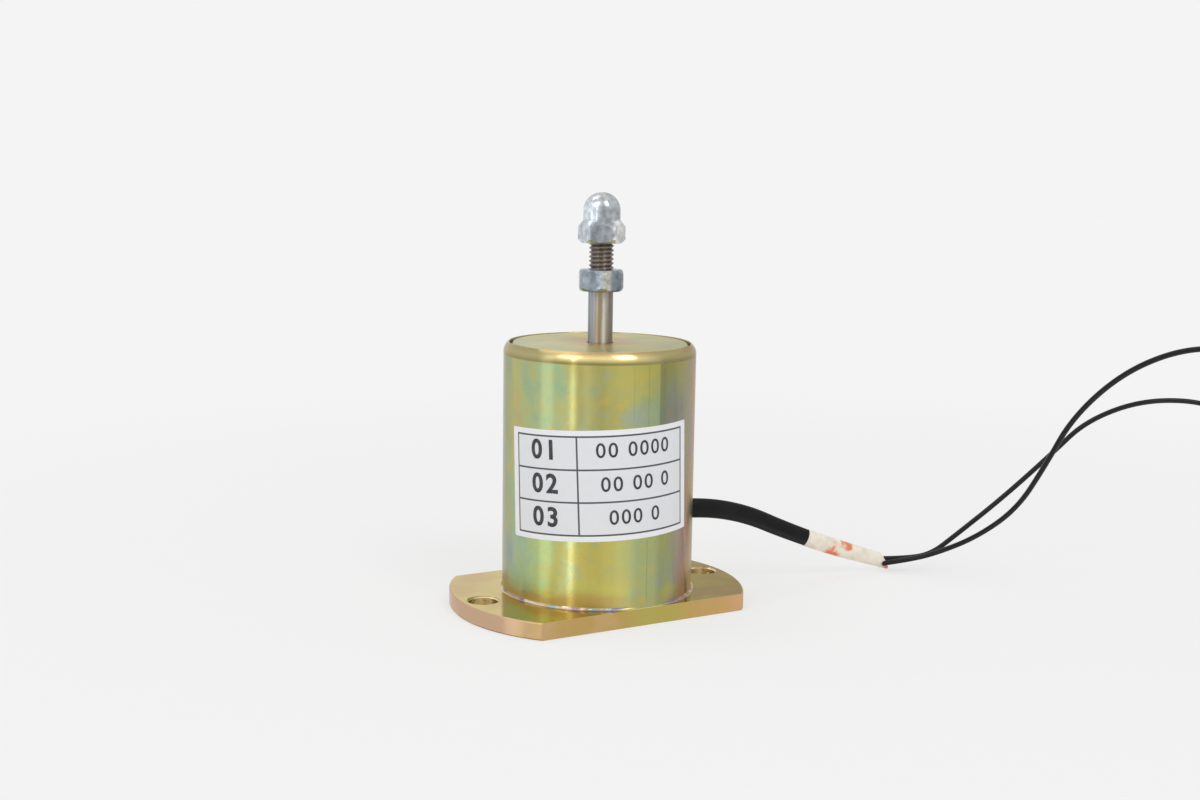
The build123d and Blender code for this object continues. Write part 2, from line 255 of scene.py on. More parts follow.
# Leads: routes as in the part's source
millimetre = 0.001
leads = {
    "turn": -5.9,  # direction in which the sleeve leaves the case
    "sleeveRoute": [(0.0212, 0.0209), (0.0284, 0.0209), (0.0404, 0.0182), (0.0516, 0.0131),
                    (0.0616, 0.0092)],
    "sleeveExit": (0.0225, 0.0209),
    "sleeveEnd": (0.0832, 0.00195),  # where the ivory sleeve ends on the floor
    "lowerRoute": [  # both wires in millimetres
        (80.4, -7.8, 3), (87, -9.6, 2.7), (94, -12, 3.5), (100, -14.5, 8.5), (110.5, -20, 18.5),
        (120, -27, 30.5), (126.5, -32.5, 40), (139, -41, 46), (154, -51, 45), (162.5, -58.5, 35),
        (163, -63.5, 20), (158.5, -67.5, 7), (151, -72.5, 0.7), (142, -76, 0.7), (135.5, -83, 0.7),
        (137, -92.5, 0.7), (145, -98, 0.7),
    ],
    "upperRoute": [
        (80.2, -9.1, 2), (85, -12.6, 3.1), (90, -18, 5.5), (96, -26.5, 11), (99.5, -36.5, 20),
        (97.5, -47, 33), (96, -56, 46), (98, -67.5, 57.5), (100.5, -80.5, 64.5), (102.5, -93, 66.5),
        (106.5, -102.5, 60.5), (110.5, -107, 48), (113, -106.5, 32), (116, -103.5, 16), (119, -98, 4.5),
        (121.5, -91, 0.7), (123.5, -84, 0.7),
    ],
    "wireRadius": 0.00065,
    "wireFineness": 5,  # steps in a quarter of the wire's round
    "smoothAngle": 50,
    "strands": 7,  # one in the middle, six round it
    "strandTuck": 0.0003,  # hidden in the insulation
    "strandLength": 0.006,
    "strandCircle": 0.00027,  # radius of the ring of outer strands
    "strandRadius": 0.00013,
    "strandTwist": 1.2,  # turns over the bare length
    "strandSteps": 12,
    "strandFineness": 2,
}
blackSleeve = {
    "height": 0.0049,
    "width": 0.0030,
    "endShare": 0.84,  # size at its end
    "taper": (0, 0.15, 0.45, 0.75, 1),  # how much of that is reached at each point of its route
    "wall": 0.00035,
    "edge": 0.0001,
}
ivorySleeve = {
    "height": 0.0044,
    "width": 0.0029,
    "shares": (1, 1, 0.95, 0.80),  # size at each point of its route
    "wall": 0.0003,
    "edge": 0.00008,
    "startInside": 0.004,
    "sag": (0.0722, 0.00545),  # a point between its ends
    "cutBack": 0.0012,
    "cutSlope": 0.55,
}
sleeveEdges = {"segments": 2, "bevelFrom": 50}
leadDirection = Vector((cos(radians(leads["turn"])), sin(radians(leads["turn"])), 0))


def leadPoint(distance, height):
    return leadDirection * distance + Vector((0, 0, height))


def layCord(name, route, shares=(), twist="Z_UP"):  # one NURBS spline along the control points
    curve = bpy.data.curves.new(name, "CURVE")
    curve.dimensions = "3D"
    curve.twist_mode = twist
    curve.resolution_u = 12
    spline = curve.splines.new("NURBS")
    spline.points.add(len(route) - 1)
    for point, place in zip(spline.points, route):
        point.co = (*place, 1)
    for point, share in zip(spline.points, shares):
        point.radius = share
    spline.order_u = 3
    spline.use_endpoint_u = True
    cord = bpy.data.objects.new(name, curve)
    bpy.context.scene.collection.objects.link(cord)
    return cord


def followedPoints(cord):  # the spline's own points, read before it gets its section
    bpy.context.view_layer.update()
    line = bpy.data.meshes.new_from_object(cord)
    points = [vertex.co.copy() for vertex in line.vertices]
    bpy.data.meshes.remove(line)
    return points


def lineLength(points):
    return sum((after - before).length for before, after in zip(points, points[1:]))


def flatTube(cord, size):  # an oval section swept along the spline
    section = addPiece("section", bpy.ops.curve.primitive_bezier_circle_add, radius=0.5)
    section.scale = (size["width"], size["height"], 1)
    section.data.resolution_u = 10
    settle(section)
    cord.data.bevel_mode = "OBJECT"
    cord.data.bevel_object = section
    makeMesh(cord)
    bpy.data.objects.remove(section)
    tidyMesh(cord)


def roundCord(cord, radius, fineness):  # a round section swept along the spline
    cord.data.bevel_depth = radius
    cord.data.bevel_resolution = fineness
    cord.data.use_fill_caps = True
    makeMesh(cord)


# Black heat-shrunk tubing over both leads
sleevePlaces = [leadPoint(*place) for place in leads["sleeveRoute"]]
sleeveShares = [1 + (blackSleeve["endShare"] - 1) * share for share in blackSleeve["taper"]]
leadSleeve = layCord("leadSleeve", sleevePlaces, sleeveShares)
sleevePath = followedPoints(leadSleeve)
flatTube(leadSleeve, blackSleeve)
applyModifier(leadSleeve, "SOLIDIFY", thickness=blackSleeve["wall"], offset=-1)
smoothEdges(leadSleeve, blackSleeve["edge"], **sleeveEdges)

# Ivory glass sleeve from inside the black one, cut slanting at its far end
lastRun = (sleevePlaces[-1] - sleevePlaces[-2]).normalized()
ivoryEnd = leadPoint(*leads["sleeveEnd"])
ivoryStart = sleevePlaces[-1] - lastRun * ivorySleeve["startInside"]
ivoryRoute = [ivoryStart, sleevePlaces[-1], leadPoint(*ivorySleeve["sag"]), ivoryEnd]
innerSleeve = layCord("innerSleeve", ivoryRoute, ivorySleeve["shares"])
flatTube(innerSleeve, ivorySleeve)
slantNormal = (leadDirection + Vector((0, 0, ivorySleeve["cutSlope"]))).normalized()
editAll(innerSleeve)
bpy.ops.mesh.bisect(plane_co=ivoryEnd - leadDirection * ivorySleeve["cutBack"], plane_no=slantNormal,
                    clear_outer=True)
leaveEdit()
applyModifier(innerSleeve, "SOLIDIFY", thickness=ivorySleeve["wall"], offset=-1)
smoothEdges(innerSleeve, ivorySleeve["edge"], **sleeveEdges)


def layWire(name, route):
    wire = layCord(name, [Vector(place) * millimetre for place in route])
    points = followedPoints(wire)
    roundCord(wire, leads["wireRadius"], leads["wireFineness"])
    tidyMesh(wire)
    smoothShade(wire, leads["smoothAngle"])
    return wire, points


lowerWire, lowerPoints = layWire("leadWireLower", leads["lowerRoute"])
upperWire, upperPoints = layWire("leadWireUpper", leads["upperRoute"])


def twistStrands(name, points):  # seven tinned strands that carry on from the insulation
    direction = (points[-1] - points[-2]).normalized()
    across = direction.cross(Vector((0, 0, 1))).normalized()
    upward = across.cross(direction)
    start = points[-1] - direction * leads["strandTuck"]
    strands = []
    for number in range(leads["strands"]):
        circle = leads["strandCircle"] if number else 0
        route = []
        for step in range(leads["strandSteps"] + 1):
            share = step / leads["strandSteps"]
            turn = tau * (number / (leads["strands"] - 1) + leads["strandTwist"] * share)
            place = start + direction * leads["strandLength"] * share
            route.append(place + (across * cos(turn) + upward * sin(turn)) * circle)
        strand = layCord(f"{name}{number}", route, twist="MINIMUM")
        roundCord(strand, leads["strandRadius"], leads["strandFineness"])
        strands.append(strand)
    joinAll(strands)
    strands[0].name = name
    bpy.ops.object.shade_smooth()
    return strands[0]


lowerEnd = twistStrands("tinnedEndLower", lowerPoints)
upperEnd = twistStrands("tinnedEndUpper", upperPoints)

for piece, replaced, slotName in (
    (leadSleeve, "lead_sleeve", "sleeve_black"),
    (innerSleeve, "inner_sleeve", "sleeve_ivory"),
    (lowerWire, "lead_wire_lower", "wire_black"),
    (upperWire, "lead_wire_upper", "wire_black"),
    (lowerEnd, "tinned_ends", "strand_tin"),
    (upperEnd, "tinned_ends", "strand_tin"),
):
    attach(piece, "stator")
    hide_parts(replaced)

print("leads laid:", round(lineLength(lowerPoints), 4), round(lineLength(upperPoints), 4), "m")


# Push rod: bright drawn bar with a cut M6 x 1 thread
rod = {
    "radius": 0.0029,
    "rootRadius": 0.00235,
    "pitch": 0.001,
    "crest": 0.00014,  # flat on top of the thread
    "threadFrom": 0.0010,  # above the lower nut's base
    "bevel": 0.0005,
    "smoothAngle": 40,
    # painted reflections and shade by angle: bluish light at the left, a brown reflection in front, a
    # highlight right of it and dark limbs
    "paintedReflectionStripes": [
        (-180, "A8AAAC"), (-88, "6A6A68"), (-66, "8A8C8E"), (-52, "AEB4BC"), (-24, "A9ABAC"), (-8, "AE9C82"),
        (3, "AA9C86"), (11, "BCBCB8"), (26, "B5B4AE"), (46, "928A80"), (70, "8B857E"), (88, "6A655E"),
        (180, "A8AAAC"),
    ],
    "stripeStray": 0.5,  # radians, from the drawn lines
    "oil": ("6B5A50", 0.00012, 0.85),  # its colour, how deep in the groove it starts, its strength there
    "drawnLine": 0.0007143,  # width of a drawn line
    "stretch": 0.06,  # its width as a share of its length
    "roughness": (0.30, 0.38),
    "relief": 0.00002,
    "threadSteel": "958B84",
}
rodLow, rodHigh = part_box("push_rod")
nutLow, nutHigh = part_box("hex_nut")
capLow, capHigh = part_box("cap_nut")
threadBase = nutLow.z + rod["threadFrom"]

pushRod = spinSolid("pushRod", [
    (0, rodLow.z),
    (rod["radius"] - rod["bevel"], rodLow.z),
    (rod["radius"], rodLow.z + rod["bevel"]),
    (rod["radius"], threadBase),
    (0, threadBase),
])
threadTurns = ceil((rodHigh.z - threadBase) / rod["pitch"])
thread = drawProfile("thread", [
    (rod["rootRadius"], threadBase - rod["pitch"]),
    (rod["radius"], threadBase - (rod["pitch"] + rod["crest"]) / 2),
    (rod["radius"], threadBase - (rod["pitch"] - rod["crest"]) / 2),
    (rod["rootRadius"], threadBase),
])
applyModifier(thread, "SCREW", angle=tau, screw_offset=rod["pitch"], iterations=threadTurns + 1,
              steps=64, render_steps=64, use_merge_vertices=True, merge_threshold=mergeDistance)
tidyMesh(thread)
editAll(thread)
for height, normal in ((threadBase, (0, 0, -1)), (rodHigh.z, (0, 0, 1))):
    bpy.ops.mesh.select_all(action="SELECT")
    bpy.ops.mesh.bisect(plane_co=(0, 0, height), plane_no=normal, use_fill=True, clear_outer=True)
leaveEdit()
tidyMesh(thread)
joinAll([pushRod, thread])
smoothShade(pushRod, rod["smoothAngle"])

# Hexagon nut and domed cap nut, M6, 10 mm across flats
nut = {
    "flats": 0.010,
    "corners": 0.0110,  # across the rounded corners
    "bevelShare": 0.95,  # circle of the end faces as a share of the flats
    "capShare": 0.87,  # the same under the dome
    "bevelSlope": 50,
    "bore": 0.00292,
    "countersink": 0.0004,
    "turn": 4.8,
    "edge": 0.00016,
    "capTurn": 31.3,
    "capHex": 0.0052,
    "domeRadius": 0.0043,
    "domeEdge": 0.95,  # radius of its rounding as a share of its own
    "capBore": 0.0080,
    "domeStep": 5,  # degrees
    "steps": 72,  # round the turned faces
    "clear": 0.001,  # how far a cutting solid reaches past the nut
    "sixth": radians(30),  # from the middle of a flat to its corner
}


def hexBody(name, base, top, turn, topShare):  # hexagonal bar, its corners turned off at both ends
    flat, corner = nut["flats"] / 2, nut["corners"] / 2
    lowCircle, topCircle = flat * nut["bevelShare"], flat * topShare
    slope = tan(radians(nut["bevelSlope"]))
    piece = addPiece(name, bpy.ops.mesh.primitive_cylinder_add, vertices=6, radius=flat / cos(nut["sixth"]),
                     depth=top - base, location=(0, 0, (base + top) / 2),
                     rotation=(0, 0, radians(turn) - nut["sixth"]))
    settle(piece)
    envelope = spinSolid("envelope", [
        (0, base), (lowCircle, base), (corner, base + (corner - lowCircle) * slope),
        (corner, top - (corner - topCircle) * slope), (topCircle, top), (0, top),
    ], nut["steps"])
    combine(piece, envelope, "INTERSECT")
    return piece


def borer(base, top, throughTop):  # the bore with its countersinks
    bore, sink, clear = nut["bore"], nut["countersink"], nut["clear"]
    points = [(0, base - clear), (bore + sink, base - clear), (bore + sink, base), (bore, base + sink)]
    if throughTop:
        points += [(bore, top - sink), (bore + sink, top), (bore + sink, top + clear), (0, top + clear)]
    else:
        points += [(bore, top), (0, top)]
    return spinSolid("borer", points, nut["steps"])


hexNut = hexBody("hexNut", nutLow.z, nutHigh.z, nut["turn"], nut["bevelShare"])
combine(hexNut, borer(nutLow.z, nutHigh.z, True), "DIFFERENCE")
smoothEdges(hexNut, nut["edge"])

capHexTop = capLow.z + nut["capHex"]
domeEdge = nut["domeRadius"] * nut["domeEdge"]
domeCentre = capHigh.z - domeEdge
capNut = hexBody("capNut", capLow.z, capHexTop, nut["capTurn"], nut["capShare"])
domePoints = [(0, capHexTop - nut["clear"]), (nut["domeRadius"], capHexTop - nut["clear"])]
for angle in range(0, 91, nut["domeStep"]):
    turn = radians(angle)
    domePoints.append((nut["domeRadius"] - domeEdge * (1 - cos(turn)), domeCentre + domeEdge * sin(turn)))
domePoints.append((0, capHigh.z))
combine(capNut, spinSolid("dome", domePoints, nut["steps"]), "UNION")
combine(capNut, borer(capLow.z, capLow.z + nut["capBore"], False), "DIFFERENCE")
smoothEdges(capNut, nut["edge"])

for piece, replaced, slotName in (
    (pushRod, "push_rod", "rod_steel"),
    (hexNut, "hex_nut", "nut_zinc"),
    (capNut, "cap_nut", "nut_zinc"),
):
    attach(piece, "armature")
    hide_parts(replaced)
print("rod and nuts made")


# Label: coated paper with a ruled table and plain numbers
label = {
    "width": 0.0465,
    "height": 0.0252,
    "cornerRadius": 0.0004,
    "thickness": 0.0001,
    "azimuth": -118.4,
    "centreHeight": 0.0326,
    "slope": 2.5,  # its right end sits higher
    "tubeRadius": 0.0225,
    "cornerSteps": 6,
    "cutSpacing": 0.0008,
    "smoothAngle": 30,
}


def wrapRound(piece, lift):  # carries a flat piece, drawn in XY, onto the tube
    slope = radians(label["slope"])
    for vertex in piece.data.vertices:
        along = vertex.co.x * cos(slope) - vertex.co.y * sin(slope)
        height = vertex.co.x * sin(slope) + vertex.co.y * cos(slope) + label["centreHeight"]
        radius = label["tubeRadius"] + lift + vertex.co.z
        turn = radians(label["azimuth"]) + along / label["tubeRadius"]
        vertex.co = (radius * cos(turn), radius * sin(turn), height)


labelPaper = addPiece("labelPaper", bpy.ops.mesh.primitive_plane_add, size=1)
labelPaper.scale = (label["width"], label["height"], 1)
settle(labelPaper)
editAll(labelPaper)
bpy.ops.mesh.bevel(offset=label["cornerRadius"], segments=label["cornerSteps"], affect="VERTICES")
cuts = int(label["width"] / label["cutSpacing"])
for number in range(1, cuts):
    bpy.ops.mesh.select_all(action="SELECT")
    bpy.ops.mesh.bisect(plane_co=(label["width"] * (number / cuts - 0.5), 0, 0), plane_no=(1, 0, 0))
leaveEdit()
flatMap = labelPaper.data.uv_layers.active or labelPaper.data.uv_layers.new(name="flatMap")
flatMap.name = "flatMap"
for loop in labelPaper.data.loops:
    spot = labelPaper.data.vertices[loop.vertex_index].co
    flatMap.data[loop.index].uv = (spot.x / label["width"] + 0.5, spot.y / label["height"] + 0.5)
applyModifier(labelPaper, "SOLIDIFY", thickness=label["thickness"], offset=1)
wrapRound(labelPaper, 0)
smoothShade(labelPaper, label["smoothAngle"])

# Numbers in the table's cells: place of the text's middle from the label's middle, height of a figure
numbers = {
    "left": {"texts": ("01", "02", "03"), "across": (-0.0133, -0.0133, -0.0133), "rise": 0.0044,
             "bold": 0.00016, "spacing": 1.25},
    "right": {"texts": ("00 0000", "00 00 0", "000 0"), "across": (0.0080, 0.0084, 0.0078), "rise": 0.0034,
              "bold": 0.00003, "spacing": 1.18},
    "rowHeights": (0.0079, 0.0002, -0.0074),
    "figureShare": 0.72,  # height of a figure as a share of the text's size
    "lift": 0.00012,
    "ink": 0.00002,
}


def printNumber(side, row):
    column = numbers[side]
    piece = addPiece(f"{side}Number{row}", bpy.ops.object.text_add)
    piece.data.body = column["texts"][row]
    piece.data.align_x = "CENTER"
    piece.data.align_y = "CENTER"
    piece.data.space_character = column["spacing"]
    piece.data.size = column["rise"] / numbers["figureShare"]
    piece.data.offset = column["bold"]
    piece.data.resolution_u = 4
    piece.location = (column["across"][row], numbers["rowHeights"][row], 0)
    makeMesh(piece)
    settle(piece)
    return piece


printed = [printNumber(side, row) for row in range(len(numbers["rowHeights"])) for side in ("left", "right")]
joinAll(printed)
labelNumbers = printed[0]
labelNumbers.name = "labelNumbers"
applyModifier(labelNumbers, "SOLIDIFY", thickness=numbers["ink"], offset=1)
wrapRound(labelNumbers, numbers["lift"])
for piece in (labelPaper, labelNumbers):
    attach(piece, "stator")
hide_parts("label")
print("label made")


# Yellow zinc passivate on turned steel: a thin film that runs from gold to green and rose in upright bands,
# some of them painted highlights and painted shade
bath = {
    "films": {
        "gold": "BFB868", "olive": "AFAB6A", "straw": "BEBC7C", "moss": "A9B077", "lime": "B2C68A",
        "sage": "AEBD8B", "lilac": "B0A79C", "rose": "BF9C86", "slate": "9FAB92", "pale": "BFCC96",
        "mint": "A8BC97", "deep": "9DA86F", "shade": "98A684",
    },
    "upper": [  # film by angle, upper half; "shade" at the left limb is painted shade
        (-180, "olive"), (-125, "sage"), (-92, "shade"), (-72, "shade"), (-60, "straw"), (-44, "sage"),
        (-24, "sage"), (-20, "straw"), (-13, "olive"), (-8, "straw"), (0, "olive"), (14, "olive"),
        (24, "moss"), (31, "deep"), (44, "slate"), (56, "slate"), (68, "lilac"), (78, "rose"),
        (105, "straw"), (145, "sage"), (180, "olive"),
    ],
    # lower half; "pale" at -15 is a painted highlight streak, and "shade" at -76 is painted shade at the
    # left limb
    "lower": [
        (-180, "gold"), (-130, "moss"), (-98, "lilac"), (-76, "shade"), (-60, "mint"), (-48, "mint"),
        (-40, "lime"), (-30, "lime"), (-24, "gold"), (-15, "pale"), (-8, "gold"), (8, "gold"),
        (24, "moss"), (46, "moss"), (54, "lilac"), (64, "rose"), (95, "straw"), (135, "lime"),
        (180, "gold"),
    ],
    "halves": (0.026, 0.042),  # heights between which the two halves blend
    "clouds": [("CDB257", 0.68), ("94B09A", 0.32)],  # colour, and where in the noise it is full
    "cloudStrength": 0.38,
    # sizes of the patches: clouds, stray of the bands, colours on plate and fillet, grain
    "cloudPatch": 0.004348,
    "wanderPatch": 0.01111,
    "finePatch": 0.009091,
    "grainPatch": 0.000625,
    "grainShade": (0.96, 1.04),
    "grainDepth": 0.00003,
    "roughness": {"tube": (0.22, 0.30), "rim": 0.23, "edge": 0.24, "top": 0.11},
    # stains of the bath: side, then height, half width and half height in millimetres, colour, strength
    "stains": [
        (-46, 56, 1.8, 4.5, "98B596", 0.5), (-25, 54.5, 1.4, 6, "98B990", 0.55),
        (-16, 59.5, 2.4, 3.5, "A09D62", 0.5), (42, 59.5, 11, 6, "B6AA50", 0.7),
        (-35, 50, 1.4, 3, "C3BE7E", 0.4), (-25, 49.5, 1.4, 3, "C3BE78", 0.5),
        (-57, 47, 2, 6, "C2B078", 0.6), (-72, 44, 2, 9, "94AC86", 0.5),
        (17, 55.5, 6, 5, "C0B55C", 0.5), (24, 48.5, 4, 3.2, "9BAA98", 0.9),
        (50, 49, 4.5, 5, "A09690", 0.7), (62, 55, 5, 4, "A8A87A", 0.5),
        (-66, 15, 2.4, 4, "90A2A4", 0.7), (-50, 11, 2.4, 4, "A0BA86", 0.5),
        (-3, 15, 5.5, 4.5, "C6B65C", 0.5), (2, 8.8, 6, 2, "C4C060", 0.6),
        (18, 15, 3, 6, "ACB884", 0.2), (40, 12, 3.5, 6, "A0A68E", 0.5),
        (60, 15, 3.5, 7, "B29492", 0.6), (50, 7.2, 3.5, 2, "B8B666", 0.8),
        (110, 30, 7, 10, "93AA9C", 0.6), (150, 48, 8, 7, "C0A070", 0.6),
        (175, 20, 6, 9, "9DB97F", 0.6), (-120, 42, 8, 10, "BA9A80", 0.6),
        (-140, 16, 7, 5, "93A2A0", 0.6),
    ],
    "stainFade": (1.5, 0.1),  # shares of a stain's size where it is gone and full
    "paintedDarkReflection": (37.3, 54, 0.036, 0.046, 0.38),  # painted dark reflection: starts sharply, ends softly, between heights, strength
    "paintedDarkReflectionFilm": "586452",
    # faint upright scores: side, from and to height, strength
    "scores": [(20.3, 0.0450, 0.0600, 0.12), (30.2, 0.0050, 0.0200, 0.25), (29.6, 0.0450, 0.0600, 0.2)],
    "score": ("6F6E48", 0.006),  # colour, half width in radians
    "footBand": ("B99B5C", 0.0055, 0.0080, 0.75),  # colour, heights where it is full and gone, strength
    "footSides": ((0.0, 0.5), (1.0, 0.25)),  # radians from the side that faces the camera, and the share left there
    "footFillet": [(0.34, "6E6A92"), (0.42, "8FA9B4"), (0.48, "B7A084"), (0.52, "E9D8CC"), (0.57, "A98AA0"),
                   (0.63, "6F7896"), (0.70, "B09A8C")],
    "filletTop": (0.0045, 0.0047),  # heights between which it ends
    "filletEnds": (-0.0216, -0.0222),  # where the tube runs into the flange's flat
    "plateTop": [(0.40, "D1BF82"), (0.58, "DBCB88")],
    "plateRose": ("D9B290", (0.52, 0.34), 0.32),  # colour, where in the noise it shows, strength
    "plateEdge": [(-0.034, "CCAB8E"), (-0.027, "C2A46C"), (-0.010, "BFA05E"), (0.001, "B7AC5E"),
                  (0.007, "B9AA5C"), (0.013, "C6A566"), (0.026, "D0A672")],
    "plateHalf": 0.035,
    "edgeStray": 0.012,
    "hole": ("EEDDB4", 0.030, 0.0036),  # painted light in and round the bolt holes: colour, distance from the axis, radius that it reaches
    "topFrom": 0.00397,  # just under the plate's top
    "wallFrom": (0.00405, 0.00415),  # just over it
    "rimFrom": (0.0595, 0.0598),  # heights between which the rim's own film takes over
    # rim by height: a painted shade line under the roll (0.0598), a painted highlight band on the roll
    # (0.0606 to 0.0616), the rose lip above
    "rim": [(0.0595, "9A9256"), (0.0598, "8A8350"), (0.0602, "A99E60"), (0.0606, "D8C486"),
            (0.0611, "EAD9A0"), (0.0616, "E2CB8E"), (0.0620, "D6B27E"), (0.0624, "C6A276")],
    "rimBrownAndShadedSides": ("9E986E", 16, 42, 0.75),  # browner film and painted shade either side of the front's highlight, from and to degrees, strength
    "wander": 0.0030,  # how far the bands stray
}


roundTheAxis = {"direction_type": "RADIAL", "axis": "Z"}


def passivatedCase():
    finish, shader, add, place = newFinish("yellowPassivatedSteel", {
        "Metallic": 1.0, "Anisotropic": 0.9, "Anisotropic Rotation": 0.25, "Specular Tint": "F0EAE3"})
    x, y, z = add("SeparateXYZ", {0: place}).outputs
    wander = add("TexNoise", {"Scale": 1 / bath["wanderPatch"], "Detail": 2.0, "Vector": place})
    centred = add("VectorMath SUBTRACT", {0: wander.outputs["Color"], 1: (0.5, 0.5, 0.5)})
    strayed = add("VectorMath MULTIPLY_ADD", {0: centred, 1: [2 * bath["wander"]] * 3, 2: place})
    strayedSide = sideAngle(add, strayed)
    side = sideAngle(add, place)
    strayedHeight = add("SeparateXYZ", {0: strayed}).outputs["Z"]
    turn = add("MapRange", {"Value": strayedSide, "From": (-pi, pi)})
    bands = {}
    for half in ("upper", "lower"):
        stops = [(angle, bath["films"][film]) for angle, film in bath[half]]
        bands[half] = add("ValToRGB", {0: turn}, stops=sideStops(stops))
    upper = add("MapRange SMOOTHSTEP", {"Value": strayedHeight, "From": bath["halves"]})
    tube = add("Mix RGBA", {0: upper, 6: bands["lower"], 7: bands["upper"]})

    # clouds in the film, some warmer and some cooler
    cloud = add("TexNoise 4D", {
        "W": 3.7, "Scale": 1 / bath["cloudPatch"], "Detail": 3.0, "Roughness": 0.6, "Vector": place})
    for colour, full in bath["clouds"]:
        share = add("MapRange SMOOTHSTEP", {
            "Value": cloud, "From": (0.5, full), "To Max": bath["cloudStrength"]})
        tube = add("Mix RGBA", {0: share, 6: tube, 7: colour})

    # stains where drops of the bath dried
    unrolled = add("CombineXYZ", {0: strayedSide, 1: strayedHeight})
    for angle, height, halfWidth, halfHeight, colour, strength in bath["stains"]:
        offset = add("VectorMath SUBTRACT", {0: unrolled, 1: (radians(angle), height * millimetre, 0)})
        scale = (label["tubeRadius"] / (halfWidth * millimetre), 1 / (halfHeight * millimetre), 0)
        away = add("VectorMath LENGTH", {0: add("VectorMath MULTIPLY", {0: offset, 1: scale})})
        share = add("MapRange SMOOTHSTEP", {"Value": away, "From": bath["stainFade"], "To Max": strength})
        tube = add("Mix RGBA", {0: share, 6: tube, 7: colour})

    # painted dark reflection: darker film beyond a straight upright line, the mirrored edge of a dark part
    # of the room
    start, end, low, high, strength = bath["paintedDarkReflection"]
    start, end = radians(start), radians(end)
    beyond = add("Math GREATER_THAN", {0: side, 1: start})
    fading = add("MapRange", {"Value": side, "From": (start, end), "To": (strength, 0.0)})
    raised = add("MapRange SMOOTHSTEP", {"Value": strayedHeight, "From": (low, high)})
    share = add("Math MULTIPLY", {0: add("Math MULTIPLY", {0: beyond, 1: fading}), 1: raised})
    tube = add("Mix RGBA", {0: share, 6: tube, 7: bath["paintedDarkReflectionFilm"]})

    # faint upright scores
    colour, halfWidth = bath["score"]
    for angle, low, high, strength in bath["scores"]:
        score = add("Math COMPARE", {0: side, 1: radians(angle), 2: halfWidth})
        along = add("Math COMPARE", {0: strayedHeight, 1: (low + high) / 2, 2: (high - low) / 2})
        share = add("Math MULTIPLY", {0: add("Math MULTIPLY", {0: score, 1: along}), 1: strength})
        tube = add("Mix RGBA", {0: share, 6: tube, 7: colour})

    # browner towards the foot, less so to the right, and many colours on the polished fillet
    colour, full, gone, strength = bath["footBand"]
    low = add("MapRange SMOOTHSTEP", {"Value": strayedHeight, "From": (gone, full), "To Max": strength})
    sides, shares = bath["footSides"]
    leftMost = add("MapRange", {"Value": side, "From": sides, "To": shares})
    foot = add("Mix RGBA", {0: add("Math MULTIPLY", {0: low, 1: leftMost}), 6: tube, 7: colour})
    fine = add("TexNoise", {"Scale": 1 / bath["finePatch"], "Detail": 1.0, "Vector": place})
    rainbow = add("ValToRGB", {0: fine}, stops=bath["footFillet"])
    overFillet = add("MapRange", {"Value": z, "From": bath["filletTop"]})
    atFlat = add("MapRange", {"Value": y, "From": bath["filletEnds"]})
    wall = add("Mix RGBA", {0: add("Math MAXIMUM", {0: overFillet, 1: atFlat}), 6: rainbow, 7: foot})

    # plate: even tan gold on top, its edge rose at the left and gold along the flat
    half = bath["plateHalf"]
    along = withStray(add, x, wander, bath["edgeStray"])
    edge = add("ValToRGB", {0: add("MapRange", {"Value": along, "From": (-half, half)})},
               stops=[((place + half) / (2 * half), colour) for place, colour in bath["plateEdge"]])
    onTop = add("Math GREATER_THAN", {0: z, 1: bath["topFrom"]})
    blotches = add("TexNoise 4D", {
        "W": 1.4, "Scale": 1 / bath["finePatch"], "Detail": 1.0, "Vector": place})
    top = add("ValToRGB", {0: blotches}, stops=bath["plateTop"])
    plate = add("Mix RGBA", {0: onTop, 6: edge, 7: top})
    colour, shown, strength = bath["plateRose"]
    rosy = add("MapRange SMOOTHSTEP", {"Value": blotches, "From": shown, "To Max": strength})
    plate = add("Mix RGBA", {0: rosy, 6: plate, 7: colour})
    # painted light: the bolt holes and their surround made pale against the shade inside them
    colour, distance, reach = bath["hole"]
    halfPlate = add("CombineXYZ", {0: add("Math ABSOLUTE", {0: x}), 1: y})
    fromHole = add("VectorMath DISTANCE", {0: halfPlate, 1: (distance, 0, 0)})
    plate = add("Mix RGBA", {0: add("Math LESS_THAN", {0: fromHole, 1: reach}), 6: plate, 7: colour})
    offPlate = add("MapRange", {"Value": z, "From": bath["wallFrom"]})
    body = add("Mix RGBA", {0: offPlate, 6: plate, 7: wall})

    # rim: its own film by height with a painted highlight on the roll and a painted shade line under it,
    # browner and shaded at both sides
    onRim = add("MapRange", {"Value": z, "From": bath["rimFrom"]})
    low, high = bath["rim"][0][0], bath["rim"][-1][0]
    rim = add("ValToRGB", {0: add("MapRange", {"Value": z, "From": (low, high)})},
              stops=[((height - low) / (high - low), colour) for height, colour in bath["rim"]])
    colour, start, end, strength = bath["rimBrownAndShadedSides"]
    eitherSide = add("Math ABSOLUTE", {0: strayedSide})
    brownedAndShaded = add("MapRange SMOOTHSTEP", {
        "Value": eitherSide, "From": (radians(start), radians(end)), "To Max": strength})
    rim = add("Mix RGBA", {0: brownedAndShaded, 6: rim, 7: colour})
    body = add("Mix RGBA", {0: onRim, 6: body, 7: rim})

